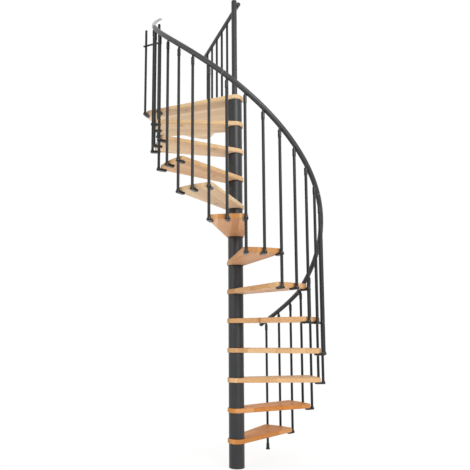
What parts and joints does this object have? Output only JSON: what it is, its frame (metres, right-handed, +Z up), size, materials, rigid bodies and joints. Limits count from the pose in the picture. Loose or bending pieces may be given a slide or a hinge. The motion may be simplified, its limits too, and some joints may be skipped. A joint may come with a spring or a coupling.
{
  "type": "spiral staircase",
  "caption": "Kit spiral staircase with a tube column, wooden wedge treads, round balusters, a helical handrail and a wooden landing with a guard.",
  "frame": {"origin": "axis of the column on the floor, on the underside of the base plate", "axes": "+Z up along the column; the first tread's nose is at 65 degrees from +X towards +Y, and the stair turns clockwise seen from above on its way up"},
  "size_m": [1.3694, 1.3686, 3.513],
  "materials": {
    "wood": "lacquered laminated hardwood",
    "column_steel": "satin powder coat",
    "baluster_steel": "satin powder coat",
    "rail": "satin plastic cover",
    "fittings": "moulded",
    "bright_end": "satin"
  },
  "bodies": {
    "root": {"baluster_heads_lower": "fittings", "baluster_heads_upper": "fittings", "balusters_01": "baluster_steel", "balusters_02": "baluster_steel", "balusters_03": "baluster_steel", "balusters_04": "baluster_steel", "balusters_05": "baluster_steel", "balusters_06": "baluster_steel", "balusters_07": "baluster_steel", "balusters_08": "baluster_steel", "balusters_09": "baluster_steel", "balusters_10": "baluster_steel", "balusters_11": "baluster_steel", "balusters_12": "baluster_steel", "base_plate": "column_steel", "column_tubes_lower": "column_steel", "column_tubes_upper": "column_steel", "corner_baluster": "baluster_steel", "corner_tie_bar": "baluster_steel", "floor_foot": "fittings", "guard_balusters": "baluster_steel", "guard_feet": "fittings", "guard_rail": "rail", "handrail_1": "rail", "handrail_2": "rail", "handrail_3": "rail", "handrail_4": "rail", "handrail_end": "bright_end", "handrail_end_cap": "bright_end", "handrail_foot_cap": "rail", "landing": "wood", "landing_nose_baluster": "baluster_steel", "landing_post": "column_steel", "landing_shoes": "fittings", "tread_01": "wood", "tread_02": "wood", "tread_03": "wood", "tread_04": "wood", "tread_05": "wood", "tread_06": "wood", "tread_07": "wood", "tread_08": "wood", "tread_09": "wood", "tread_10": "wood", "tread_11": "wood", "tread_12": "wood", "tread_shoes_lower": "fittings", "tread_shoes_upper": "fittings"}
  },
  "joints": []
}
